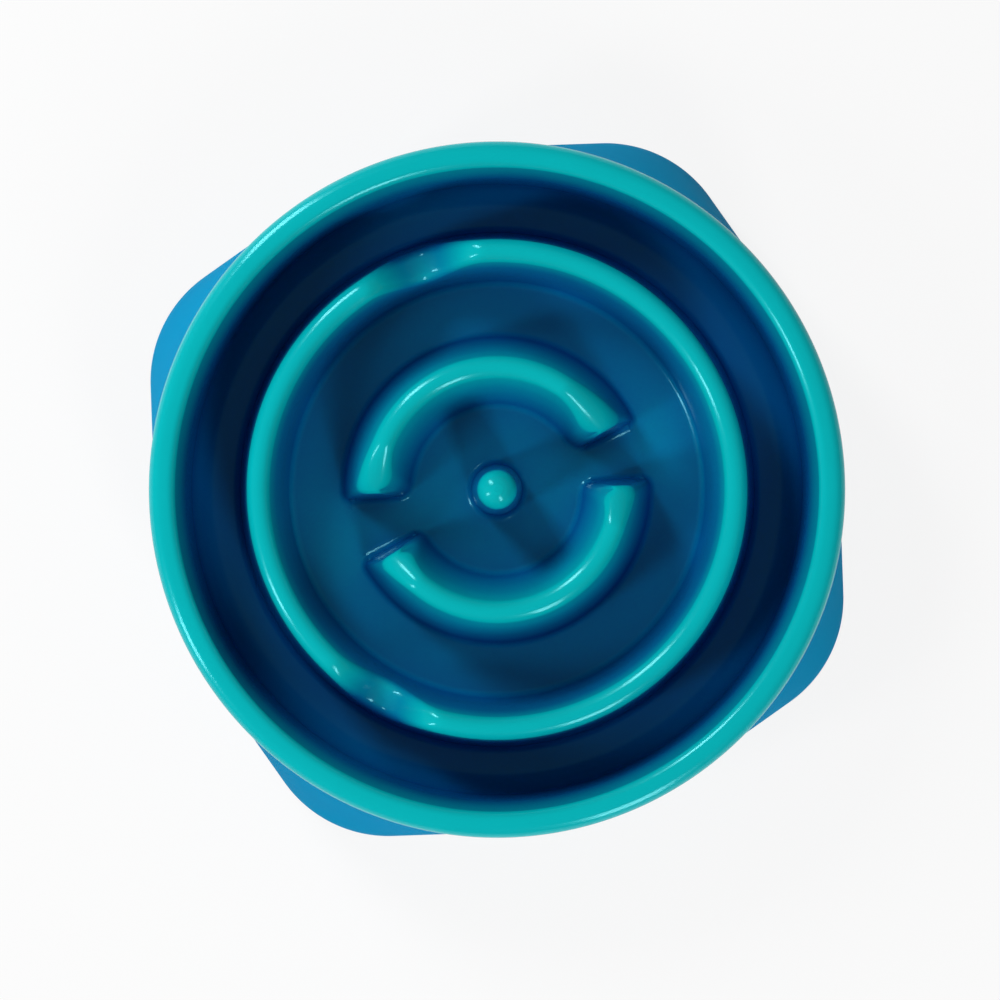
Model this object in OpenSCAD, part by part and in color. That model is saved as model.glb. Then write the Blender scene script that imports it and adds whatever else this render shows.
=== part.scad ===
// Slow feeder bowl
//
// One moulded bowl stands on four push-in rubber feet. A round rim carries a basin whose floor has
// a ring ridge with two saddles, two facing arc ridges with ramped ends and a domed post in the
// middle. Outside, a skirt runs from the round rim down to a rounded square, so that the four
// corners of the base reach out past the rim. Every ridge is hollow underneath, like the rim.
//
// The origin is on the table at the middle of the bowl, +Z is up, and the corners of the base lie
// on the diagonals. Lengths are in millimetres and angles in degrees.

/* [Rim] */
// Outer diameter of the rim
rim_d = 216; // [214:1:236]
// Height of the rim above the table
bowl_h = 50; // [46:1:60]
// Width of the rim between its outer edge and the basin
rim_w = 8.2; // [7.4:0.1:9]
// Radius of the rim's outer edge
rim_round = 4; // [2:0.1:5]
// Radius of the rim's inner edge
rim_inner_round = 2.6; // [0.8:0.1:2.6]
// Height of the lip band around the rim
lip_h = 6.5; // [5:0.1:9]
// Radius of the lip's lower edge
lip_round = 0.8; // [0.3:0.1:1.2]
// How far the lip stands out past the skirt
lip_step = 1.5; // [1:0.1:2.5]

/* [Basin] */
// Thickness of the moulded walls
wall = 2.3; // [1.8:0.1:2.6]
// Height of the basin's floor above the table
floor_z = 8; // [7:0.1:10]
// How far the basin's wall leans in between the rim and the floor
wall_lean = 2.8; // [1.5:0.1:4]
// Radius between the basin's wall and its floor
floor_round = 8; // [5:0.1:9]

/* [Skirt] */
// Width of the base across its flat sides
base_w = 194; // [193:1:204]
// Radius of the base's corners
corner_r = 40; // [36:0.5:52]
// Height of the skirt's lower edge above the table
skirt_gap = 1.5; // [1:0.1:2.5]
// Radius of the skirt's lower edge
skirt_round = 0.8; // [0.4:0.1:1.2]

/* [Ring ridge] */
// Radius of the ring ridge's crest line
ring_r = 74.8; // [73:0.1:77]
// Height of the ring ridge above the table
ring_h = 39; // [32:0.5:44]
// Draft of the ring ridge's flanks
ring_draft = 9; // [4:0.5:9]
// Depth of the two saddles below the crest
saddle_depth = 13.5; // [8:0.5:18]
// Length of a saddle along the crest
saddle_len = 41; // [34:1:50]
// Angle of the first saddle
saddle_a = 90; // [70:1:110]
// Angle of the second saddle
saddle_b = 222.5; // [205:0.5:240]

/* [Arc ridges] */
// Radius of the arc ridges' crest line
arc_r = 38.4; // [36:0.1:40]
// Height of the arc ridges above the table
arc_h = 37; // [30:0.5:42]
// Draft of the arc ridges' flanks
arc_draft = 16; // [10:0.5:17]
// Angle where the upper arc's crest starts
upper_from = 11.5; // [5:0.5:20]
// Angle where the upper arc's crest ends
upper_to = 161.5; // [150:0.5:168]
// Angle where the lower arc's crest starts
lower_from = 194.5; // [188:0.5:205]
// Angle where the lower arc's crest ends
lower_to = 341.5; // [330:0.5:346]
// Draft of the arc ridges' end faces
end_draft = 6; // [3:0.5:12]
// Radius of the corners of the end faces, seen from above
end_corner = 5; // [3:0.1:6]
// Length of the long ramp, at the upper arc's start
ramp_long = 18; // [14:0.5:22]
// Length of the middle ramp, at the upper arc's end
ramp_middle = 15.5; // [12:0.5:20]
// Length of the short ramps, at both ends of the lower arc
ramp_short = 11.5; // [9:0.5:16]
// Drop of each ramp, for each millimetre of its length
ramp_fall_share = 0.5; // [0.3:0.05:0.7]

/* [Ridge section] */
// Width of the flat along the middle of a crest
crest_flat = 0.4; // [0.4:0.1:3]
// Radius of the crest's edges
crest_round = 3.5; // [2.8:0.1:3.6]
// Radius between a ridge's flank and the floor
foot_round = 2.5; // [1.5:0.1:3]

/* [Centre post] */
// Radius of the post's dome
post_r = 6.4; // [5.5:0.1:8]
// Height of the post above the table
post_h = 37; // [28:0.5:42]
// Draft of the post's side
post_draft = 5; // [3:0.5:7]

/* [Rubber feet] */
// Diameter of a rubber foot
foot_d = 16; // [13:0.1:16.6]
// Thickness of a foot's pad
foot_t = 3.5; // [3:0.1:4.5]
// Radius of a foot's lower edge
foot_edge = 1; // [0.5:0.1:1.2]
// Gap between a foot's pad and the skirt around it
foot_margin = 1.6; // [1:0.1:2.5]
// Diameter of a foot's stud
stud_d = 5; // [4:0.1:6]
// Length of a foot's stud
stud_l = 9; // [6:0.1:12]
// Chamfer on the stud's tip
stud_chamfer = 0.8; // [0.4:0.1:1.2]
// Clearance around a stud in its socket
stud_clearance = 0.1; // [0.05:0.05:0.2]
// Depth left in a socket past the stud's tip
socket_spare = 1; // [0.5:0.1:2]
// Width and depth of the grip groove under a foot
grip_groove = 0.8; // [0.5:0.1:1.2]
// Outer diameter of the boss that takes a stud
boss_d = 11; // [9:0.1:12]
// Thickness of the rib through each boss
rib_t = 1.8; // [1.2:0.1:2.4]

/* [Hidden] */

// Length by which a cutting shape runs past what it cuts
overrun = 1;
// Depth by which a ridge's section starts below the floor's surface
sink = 0.3;
// Depth of a ridge's root in the floor plate, as a share of the plate
root_share = 0.5;
// Straight steps in a small edge
edge_steps = 2;
// Straight steps in the edge of a crest
crest_steps = 3;
// Straight steps in a revolved fillet
fillet_steps = 6;
// Straight steps in each corner of the skirt
corner_steps = 12;
// Sections along each ramp
ramp_steps = 4;
// Angle between a ridge's sections along its level crest
coarse_step = 6;
// Angle between a ridge's sections in a saddle
fine_step = 3;
// Power of a ramp's curve, so that it steepens towards its end
ramp_power = 1.4;
// Place of the grip groove, as a share of the pad's radius
groove_share = 0.5;
$fn = 96;

rim_r = rim_d / 2;
lip_z = bowl_h - lip_h;
roof_z = bowl_h - wall;
basin_r = rim_r - rim_w;
basin_slope = atan(wall_lean / (bowl_h - floor_z));
skirt_r = rim_r - lip_step;
corner_reach = (base_w / 2 - corner_r) * sqrt(2);
base_tip = corner_reach + corner_r;
plate_z = floor_z - wall;
root_z = -wall * root_share;
section_z = floor_z - sink;
foot_reach = base_tip - wall - foot_margin - foot_d / 2;
foot_angles = [-45, 45, 135, 225];

// Points of an arc about a centre, from one angle to another
function arc(centre, r, from, to, steps) =
    [
        for (i = [0:steps])
            let (angle = from + (to - from) * i / steps)
            centre + r * [cos(angle), sin(angle)]
    ];

function reversed(list) = [for (i = [len(list) - 1:-1:0]) list[i]];

function mirrored(points) = [for (p = points) [-p[0], p[1]]];

// Radius of the basin's wall at a height
function wall_r(z) = basin_r - wall_lean + (z - floor_z) * tan(basin_slope);

// Outline of the basin's wall and floor, moved out by a wall's thickness or by nothing
function basin_outline(out) =
    let (
        centre_z = floor_z + floor_round,
        centre = [wall_r(centre_z) - floor_round / cos(basin_slope), centre_z]
    )
    arc(centre, floor_round + out, -90, -basin_slope, fillet_steps);

// How far a fillet of radius r reaches along both of its lines, where a flank leans by the draft
function fillet_reach(r, draft) = r * tan(45 - draft / 2);

// Half of a ridge's width where its flanks meet the base of its section
function half_base(h, draft) =
    crest_flat / 2 + crest_round * cos(draft) + (h - crest_round * (1 - sin(draft))) * tan(draft);

// Both roundings shrink together where a section is too low to hold them
function rounding_share(h, draft) = min(1, h / ((foot_round + crest_round) * (1 - sin(draft))));

// Middle of the crest edge's rounding, for a section of half width b and height h
function crest_centre(h, b, draft, r) =
    [b - r * cos(draft) - (h - r * (1 - sin(draft))) * tan(draft), h - r];

// Right half of a ridge's outside, from its foot on the floor up to the crest
function outer_half(h, b, draft) =
    let (k = rounding_share(h, draft), foot = foot_round * k, crest = crest_round * k)
    concat(
        arc([b + fillet_reach(foot, draft), foot], foot, -90, draft - 180, edge_steps),
        arc(crest_centre(h, b, draft, crest), crest, draft, 90, crest_steps)
    );

// Closed section of a ridge: the first point is the middle of its root
function outer_section(h, b, draft) =
    let (half = outer_half(h, b, draft), foot = half[0][0])
    concat([[0, root_z], [foot, root_z]], half, reversed(mirrored(half)), [[-foot, root_z]]);

// Closed section of the hollow under a ridge, one wall's thickness inside the ridge
function hollow_section(h, b, draft) =
    let (
        low = sink - wall - overrun,
        half = concat(
            [[b - wall / cos(draft) - low * tan(draft), low]],
            arc(
                crest_centre(h, b, draft, crest_round),
                crest_round - wall,
                draft,
                90,
                edge_steps
            )
        )
    )
    concat([[0, low]], half, reversed(mirrored(half)));

// A flat section stood up at an angle on a circle about the bowl's axis
function placed(section, r, angle) =
    [for (p = section) [(r + p[0]) * cos(angle), (r + p[0]) * sin(angle), section_z + p[1]]];

// Solid through a list of rings of points, closed at both ends or run round in a loop
module skin(rings, looped = false) {
    n = len(rings[0]);
    last = len(rings) - 1;
    bands = looped ? last : last - 1;
    sides = [
        for (i = [0:bands])
            for (j = [0:n - 1])
                let (
                    a = i * n + j,
                    b = i * n + (j + 1) % n,
                    c = ((i + 1) % (last + 1)) * n + (j + 1) % n,
                    d = ((i + 1) % (last + 1)) * n + j
                )
                each [[a, b, c], [a, c, d]]
    ];
    caps = looped ? [] : [
        for (j = [1:n - 2]) each [[0, j + 1, j], [last * n, last * n + j, last * n + j + 1]]
    ];
    polyhedron(points = [for (ring = rings) each ring], faces = concat(sides, caps));
}

// One level of the skirt, from the base's rounded square (blend 0) to the rim's circle (blend 1)
function skirt_ring(z, inset) =
    let (
        blend = (z - skirt_gap) / (lip_z - skirt_gap),
        reach = corner_reach * max(0, 1 - blend),
        r = corner_r + (skirt_r - corner_r) * blend - inset
    )
    [
        for (q = [0:3])
            for (j = [corner_steps - 1:-1:0])
                let (
                    corner = 45 - 90 * q,
                    a = corner - 45 + 90 * (j + 0.5) / corner_steps
                )
                [reach * cos(corner) + r * cos(a), reach * sin(corner) + r * sin(a), z]
    ];

// Filled body of the skirt, up into the lip
module skirt_body() {
    skin([
        skirt_ring(skirt_gap, skirt_round),
        skirt_ring(skirt_gap + skirt_round, 0),
        skirt_ring(lip_z, 0),
        [for (p = skirt_ring(lip_z, lip_step)) p + [0, 0, lip_round + lip_step]]
    ]);
}

// Space inside the skirt and the rim
module skirt_space() {
    below = [for (p = skirt_ring(skirt_gap, wall)) p - [0, 0, overrun]];
    top = [for (p = skirt_ring(lip_z, wall)) [p[0], p[1], roof_z]];
    skin([below, skirt_ring(skirt_gap, wall), skirt_ring(lip_z, wall), top]);
}

// Round block that becomes the rim and its lip
module rim_block() {
    rotate_extrude()
        polygon(concat(
            [[0, lip_z]],
            arc([rim_r - lip_round, lip_z + lip_round], lip_round, -90, 0, edge_steps),
            arc([rim_r - rim_round, bowl_h - rim_round], rim_round, 0, 90, fillet_steps),
            [[0, bowl_h]]
        ));
}

// Space in the basin, above the floor
module basin_space() {
    edge_z = bowl_h - rim_inner_round;
    edge = [wall_r(edge_z) + rim_inner_round / cos(basin_slope), edge_z];
    rotate_extrude()
        polygon(concat(
            [[0, floor_z]],
            basin_outline(0),
            arc(edge, rim_inner_round, 180 - basin_slope, 90, edge_steps),
            [[edge[0], bowl_h + overrun], [0, bowl_h + overrun]]
        ));
}

// The basin filled in: its underside is the underside of the floor and the wall
module basin_body() {
    rotate_extrude()
        polygon(concat(
            [[0, plate_z]],
            basin_outline(wall),
            [[wall_r(bowl_h) + wall / cos(basin_slope), bowl_h], [0, bowl_h]]
        ));
}

// Calls its children at the four corners of the base
module at_feet() {
    for (angle = foot_angles)
        rotate([0, 0, angle])
            translate([foot_reach, 0, 0])
                children();
}

// Boss that takes a foot's stud, with the rib that ties it to the skirt and the basin
module foot_boss() {
    rib_from = basin_r - wall_lean;
    translate([0, 0, foot_t])
        cylinder(h = roof_z, d = boss_d);
    translate([rib_from - foot_reach, -rib_t / 2, foot_t + rib_t])
        cube([base_tip - rib_from, rib_t, roof_z]);
}

// Hollow underside between the skirt and the basin, with the bosses left standing in it
module underside() {
    difference() {
        skirt_space();
        basin_body();
        at_feet() foot_boss();
    }
}

// Height of the ring ridge at an angle: each saddle is one cosine wave deep
function ring_height(angle) =
    let (
        half = saddle_len / 2 / ring_r * 180 / PI,
        off = min(abs(angle - saddle_a), abs(angle - saddle_b))
    )
    ring_h - section_z - saddle_depth * (1 + cos(180 * min(1, off / half))) / 2;

// Angles of the ring ridge's sections, closer together in the saddles
ring_angles = [
    for (a = [0:fine_step:360 - fine_step])
        if (a % coarse_step == 0 || ring_height(a) < ring_h - section_z) a
];

module ring_ridge() {
    b = half_base(ring_h - section_z, ring_draft);
    skin(
        [
            for (a = ring_angles)
                placed(outer_section(ring_height(a), b, ring_draft), ring_r, a)
        ],
        looped = true
    );
}

module ring_hollow() {
    b = half_base(ring_h - section_z, ring_draft);
    skin(
        [
            for (a = ring_angles)
                placed(hollow_section(ring_height(a), b, ring_draft), ring_r, a)
        ],
        looped = true
    );
}

// Angle that a length takes along the arc ridges' crest line
function arc_angle(length) = length / arc_r * 180 / PI;

// Height of an arc ridge at a distance inside the edge of its end
function ramp_height(s, ramp) =
    arc_h - section_z - ramp_fall_share * ramp * pow(max(0, 1 - s / ramp), ramp_power);

// Slope of a ramp where it meets the edge of its end
edge_slope = atan(ramp_fall_share * ramp_power);

// One end of an arc ridge as [distance inside the edge, height] pairs: foot, face, edge, ramp
function end_path(ramp) =
    let (
        centre = [
            crest_round * sin(edge_slope),
            ramp_height(0, ramp) - crest_round * cos(edge_slope)
        ],
        edge = arc(centre, crest_round, 180 - end_draft, 90 + edge_slope, crest_steps),
        foot_x = edge[0][0] - edge[0][1] * tan(end_draft) - fillet_reach(foot_round, end_draft),
        foot = arc([foot_x, foot_round], foot_round, -90, -end_draft, edge_steps)
    )
    concat(
        [for (p = foot) [p[0], max(p[1], sink / 2)]],
        edge,
        [
            for (i = [1:ramp_steps])
                let (s = ramp * i / ramp_steps)
                [s, ramp_height(s, ramp)]
        ]
    );

// How far an end's rounded corner takes the flanks in, at a distance from the foot of the end
function corner_inset(s) =
    end_corner - sqrt(pow(end_corner, 2) - pow(max(end_corner - s, 0), 2));

// Sections of one end of an arc ridge, as [angle, height, half width of the base]; dir is the
// way in from the end, 1 or -1
function end_stations(from, dir, ramp) =
    let (path = end_path(ramp))
    [
        for (p = path)
            [
                from + dir * arc_angle(p[0]),
                p[1],
                half_base(arc_h - section_z, arc_draft) - corner_inset(p[0] - path[0][0])
            ]
    ];

// Sections of a whole arc ridge, from one foot to the other
function arc_stations(from, to, ramp_from, ramp_to) =
    let (
        first = from + arc_angle(ramp_from),
        last = to - arc_angle(ramp_to),
        steps = round((last - first) / coarse_step),
        h = arc_h - section_z
    )
    concat(
        end_stations(from, 1, ramp_from),
        [
            for (i = [1:steps - 1])
                [first + (last - first) * i / steps, h, half_base(h, arc_draft)]
        ],
        reversed(end_stations(to, -1, ramp_to))
    );

module arc_ridge(stations) {
    skin([for (s = stations) placed(outer_section(s[1], s[2], arc_draft), arc_r, s[0])]);
}

// The hollow keeps one wall's thickness inside both end faces
module arc_hollow(stations, from, to) {
    margin = arc_angle(wall);
    skin([
        for (s = stations)
            if (s[0] > from + margin && s[0] < to - margin)
                placed(hollow_section(s[1], s[2], arc_draft), arc_r, s[0])
    ]);
}

upper_stations = arc_stations(upper_from, upper_to, ramp_long, ramp_middle);
lower_stations = arc_stations(lower_from, lower_to, ramp_short, ramp_short);

// Half outline of the centre post, or of the hollow in it
function post_outline(inset, low) =
    let (
        centre = [0, post_h - post_r],
        dome = reversed(arc(centre, post_r - inset, post_draft, 90, fillet_steps)),
        side = dome[len(dome) - 1]
    )
    concat(dome, [[side[0] + (side[1] - low) * tan(post_draft), low], [0, low]]);

// The post is one outline: its fillet at the floor, then its side and dome
module centre_post() {
    side_r = post_outline(0, section_z)[fillet_steps + 1][0];
    foot_r = side_r + fillet_reach(foot_round, post_draft);
    foot_z = section_z + foot_round;
    rotate_extrude()
        polygon(concat(
            [[0, section_z + root_z], [foot_r, section_z + root_z]],
            arc([foot_r, foot_z], foot_round, -90, post_draft - 180, edge_steps),
            arc([0, post_h - post_r], post_r, post_draft, 90, fillet_steps)
        ));
}

module post_hollow() {
    rotate_extrude()
        polygon(post_outline(wall, plate_z - overrun));
}

// The whole moulding: rim, skirt, basin and ridges in one piece
module bowl_shell() {
    color([0.02, 0.71, 0.73])
        difference() {
            union() {
                difference() {
                    union() {
                        rim_block();
                        skirt_body();
                    }
                    underside();
                    basin_space();
                }
                ring_ridge();
                arc_ridge(upper_stations);
                arc_ridge(lower_stations);
                centre_post();
            }
            ring_hollow();
            arc_hollow(upper_stations, upper_from, upper_to);
            arc_hollow(lower_stations, lower_from, lower_to);
            post_hollow();
            at_feet()
                translate([0, 0, foot_t - overrun])
                    cylinder(h = overrun + stud_l + socket_spare, d = stud_d + 2 * stud_clearance);
        }
}

// Rubber foot: a pad with a grip groove below and a stud above
module rubber_foot(angle) {
    pad_r = foot_d / 2;
    stud_r = stud_d / 2;
    tip_z = foot_t + stud_l;
    color([0.09, 0.1, 0.11])
        rotate([0, 0, angle])
            translate([foot_reach, 0, 0])
                difference() {
                    rotate_extrude()
                        polygon(concat(
                            [[0, 0]],
                            arc([pad_r - foot_edge, foot_edge], foot_edge, -90, 0, crest_steps),
                            [
                                [pad_r, foot_t],
                                [stud_r, foot_t],
                                [stud_r, tip_z - stud_chamfer],
                                [stud_r - stud_chamfer, tip_z],
                                [0, tip_z]
                            ]
                        ));
                    rotate_extrude()
                        translate([pad_r * groove_share, -overrun])
                            square([grip_groove, grip_groove + overrun]);
                }
}

bowl_shell();
rubber_foot(foot_angles[0]);  // foot_front_right
rubber_foot(foot_angles[1]);  // foot_back_right
rubber_foot(foot_angles[2]);  // foot_back_left
rubber_foot(foot_angles[3]);  // foot_front_left
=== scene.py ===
"""Slow feeder bowl: the smooth moulding, its corner bosses, the finishes, the light and the camera.

Sizes are in millimetres and angles in degrees until a point is placed in a mesh, which is in metres. The bowl is
spun as one closed outline, and its skirt, saddles and arc ridges are then shaped column by column.
"""

import logging
import math
from dataclasses import dataclass
from enum import Enum
from functools import cached_property

import bmesh
import bpy
from mathutils import Matrix, Vector


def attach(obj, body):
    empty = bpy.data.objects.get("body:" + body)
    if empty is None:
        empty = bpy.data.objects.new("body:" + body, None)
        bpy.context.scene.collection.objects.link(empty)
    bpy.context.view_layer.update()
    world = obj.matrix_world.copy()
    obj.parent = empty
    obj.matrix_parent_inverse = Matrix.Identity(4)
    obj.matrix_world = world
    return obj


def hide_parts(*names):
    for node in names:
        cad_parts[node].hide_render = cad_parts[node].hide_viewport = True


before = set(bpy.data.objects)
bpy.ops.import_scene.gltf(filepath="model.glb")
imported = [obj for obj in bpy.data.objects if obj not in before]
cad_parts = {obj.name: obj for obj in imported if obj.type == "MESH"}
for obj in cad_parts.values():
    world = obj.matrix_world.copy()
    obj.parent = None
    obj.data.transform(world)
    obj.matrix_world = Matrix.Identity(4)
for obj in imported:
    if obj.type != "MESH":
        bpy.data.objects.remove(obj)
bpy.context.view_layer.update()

LOG = logging.getLogger("bowl")
MM = 0.001
COLUMNS = 360
STEP = 360 / COLUMNS
BODY = "root"
HAIR = 0.01
WELD = 1e-6
SMOOTH_ANGLE = 50.0
WHITE = (1.0, 1.0, 1.0)
SHARE = (0.0, 1.0)

Point = tuple[float, float]
Range = tuple[float, float]
Colour = tuple[float, float, float]
Socket = bpy.types.NodeSocket


class Part(Enum):
    """Which stretch of the moulding's outline a point belongs to."""

    POST = "post"
    ARC = "arc ridge"
    RING = "ring ridge"
    BASIN = "basin"
    RIM = "rim"
    SKIRT = "skirt"
    SKIRT_INSIDE = "inside of the skirt"
    BASIN_UNDER = "underside of the basin"
    RING_UNDER = "hollow under the ring ridge"
    ARC_UNDER = "hollow under an arc ridge"
    POST_UNDER = "hollow in the post"


class Finish(Enum):
    """The places of the moulding's materials in its list."""

    GLOSSY = 0
    # The skirt's material, whose bluer tone is painted shade.
    SATIN = 1


def deselect() -> None:
    """Leaves no object selected, so that an operator acts only on what is made next."""
    bpy.ops.object.select_all(action="DESELECT")


def pick(piece: bpy.types.Object) -> None:
    """Makes one object the selected and active one.

    Args:
        piece: The object to work on.
    """
    deselect()
    piece.select_set(True)
    bpy.context.view_layer.objects.active = piece


def arc(centre: Point, radius: float, start: float, end: float, steps: int) -> list[Point]:
    """Gives the points along an arc from one angle to another, both ends included."""
    angles = [math.radians(start + (end - start) * i / steps) for i in range(steps + 1)]
    return [(centre[0] + radius * math.cos(a), centre[1] + radius * math.sin(a)) for a in angles]


def between(low: float, high: float, steps: int) -> list[float]:
    """Gives the values from one to another in even steps, both included."""
    return [low + (high - low) * i / steps for i in range(steps + 1)]


def reach_of(radius: float, draft: float) -> float:
    """Gives how far the fillet at the foot of a leaning face reaches out from the face's base line."""
    return radius * math.tan(math.radians(45 - draft / 2))


@dataclass(frozen=True)
class RimSizes:
    """The round rim and the lip band around it."""

    radius: float = 108.0
    top: float = 50.0
    width: float = 8.2
    outer_round: float = 4.0
    inner_round: float = 2.6
    lip_height: float = 6.5
    lip_round: float = 0.8
    lip_step: float = 1.5
    inner_steps: int = 5
    outer_steps: int = 8
    lip_steps: int = 4


@dataclass(frozen=True)
class BasinSizes:
    """The basin's wall and floor."""

    wall: float = 2.3
    floor: float = 8.0
    lean: float = 2.8
    fillet: float = 8.0
    fillet_steps: int = 9
    under_steps: int = 8


@dataclass(frozen=True)
class SkirtSizes:
    """The skirt from the lip down to the rounded square base."""

    base_width: float = 194.0
    corner: float = 40.0
    gap: float = 1.5
    edge: float = 0.8
    clear: float = 0.05
    levels: int = 6
    edge_angles: tuple[float, ...] = (30.0, 60.0, 90.0)


@dataclass(frozen=True)
class SectionSizes:
    """What the sections of all ridges share."""

    crest_flat: float = 0.4
    crest_round: float = 3.5
    foot_round: float = 2.5
    mouth_round: float = 1.0
    foot_steps: int = 5
    flank_steps: int = 3
    crest_steps: int = 6
    hollow_steps: int = 3


@dataclass(frozen=True)
class RingSizes:
    """The ring ridge and its two saddles."""

    radius: float = 74.8
    height: float = 39.0
    draft: float = 9.0
    saddle_depth: float = 13.5
    saddle_length: float = 41.0
    saddles: tuple[float, ...] = (90.0, 222.5)


@dataclass(frozen=True)
class ArcEnd:
    """One end of an arc ridge: where its crest stops, which way is in, its ramp's length and its inner corner."""

    angle: float
    way_in: int
    ramp: float
    inner_corner: float


@dataclass(frozen=True)
class ArcSizes:
    """The two arc ridges, with their ends in turn about the axis."""

    radius: float = 38.4
    height: float = 37.0
    draft: float = 16.0
    end_draft: float = 6.0
    outer_corner: float = 2.6
    corner_stretch: float = 1.5
    dome: float = 7.5
    least_edge: float = 0.3
    ramp_fall: float = 0.56
    ramp_power: float = 1.4
    edge_steps: int = 9
    face_shares: tuple[float, ...] = (0.3, 0.55, 0.8)
    end_columns: int = 8
    least_steps: int = 8
    ends: tuple[ArcEnd, ...] = (
        ArcEnd(11.5, 1, 18.0, 4.2),
        ArcEnd(161.5, -1, 15.5, 4.2),
        ArcEnd(194.5, 1, 11.5, 2.6),
        ArcEnd(341.5, -1, 11.5, 3.2),
    )


@dataclass(frozen=True)
class PostSizes:
    """The domed post in the middle."""

    radius: float = 6.4
    height: float = 37.0
    draft: float = 5.0
    dome_steps: int = 14
    hollow_steps: int = 6
    mouth_steps: int = 3


@dataclass(frozen=True)
class Stop:
    """One point of the moulding's outline, before the columns are shaped."""

    part: Part
    index: int
    radius: float
    height: float


@dataclass(frozen=True)
class ArcColumn:
    """Where one column of the mesh crosses the arc ridges."""

    angle: float
    inside: float
    height: float
    inner_corner: float = 0.0


@dataclass(frozen=True)
class Section:
    """Works out the cross-section of a ridge as offsets from its crest line and heights above the floor."""

    sizes: SectionSizes
    height: float
    draft: float

    def lean(self) -> float:
        """Gives the tangent of the draft."""
        return math.tan(math.radians(self.draft))

    def base(self) -> float:
        """Works out where the flanks would meet the floor.

        Returns:
            Half the ridge's width there.
        """
        s = self.sizes
        slope = math.radians(self.draft)
        rise = self.height - s.crest_round * (1 - math.sin(slope))
        return s.crest_flat / 2 + s.crest_round * math.cos(slope) + rise * self.lean()

    def rounding_share(self, height: float) -> float:
        """Gives how much of the full roundings at the foot and at the crest a low section has room for."""
        room = (self.sizes.foot_round + self.sizes.crest_round) * (1 - math.sin(math.radians(self.draft)))
        return min(1.0, height / room)

    def foot(self, radius: float) -> list[Point]:
        """Gives the fillet at the foot, as distances outside the flank's base line and heights, from the floor up."""
        reach = reach_of(radius, self.draft)
        return arc((reach, radius), radius, -90, self.draft - 180, self.sizes.foot_steps)

    def crest_middle(self, height: float, radius: float) -> float:
        """Gives how far from the crest line a rounding that meets the flank has its middle."""
        slope = math.radians(self.draft)
        return self.base() - radius * math.cos(slope) - (height - radius * (1 - math.sin(slope))) * self.lean()

    def half(self, height: float) -> list[Point]:
        """Gives one half of the section at a height, with its flanks where the full section has them.

        Args:
            height: The section's own height.

        Returns:
            Offsets and heights from the floor up to the middle of the crest.
        """
        s, share = self.sizes, self.rounding_share(height)
        foot = [(self.base() + x, z) for x, z in self.foot(s.foot_round * share)]
        crest_r = s.crest_round * share
        middle = (self.crest_middle(height, crest_r), height - crest_r)
        crest = arc(middle, crest_r, self.draft, 90, s.crest_steps)
        flank = zip(*(between(low, high, s.flank_steps) for low, high in zip(foot[-1], crest[0])))
        return foot + list(flank)[1:-1] + crest

    def hollow(self, height: float, wall: float) -> list[Point]:
        """Gives one half of the hollow under the ridge.

        Args:
            height: The ridge's own height there.
            wall: Thickness of the moulding.

        Returns:
            Offsets and heights from the floor's underside up to the middle of the hollow's roof.
        """
        s = self.sizes
        mouth_x = self.base() - wall / math.cos(math.radians(self.draft)) + wall * self.lean()
        mouth = arc((mouth_x + s.mouth_round, s.mouth_round - wall), s.mouth_round, -90, -180, s.hollow_steps - 1)
        middle = (self.crest_middle(height, s.crest_round), height - s.crest_round)
        return mouth + arc(middle, s.crest_round - wall, self.draft, 90, s.hollow_steps)


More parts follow.
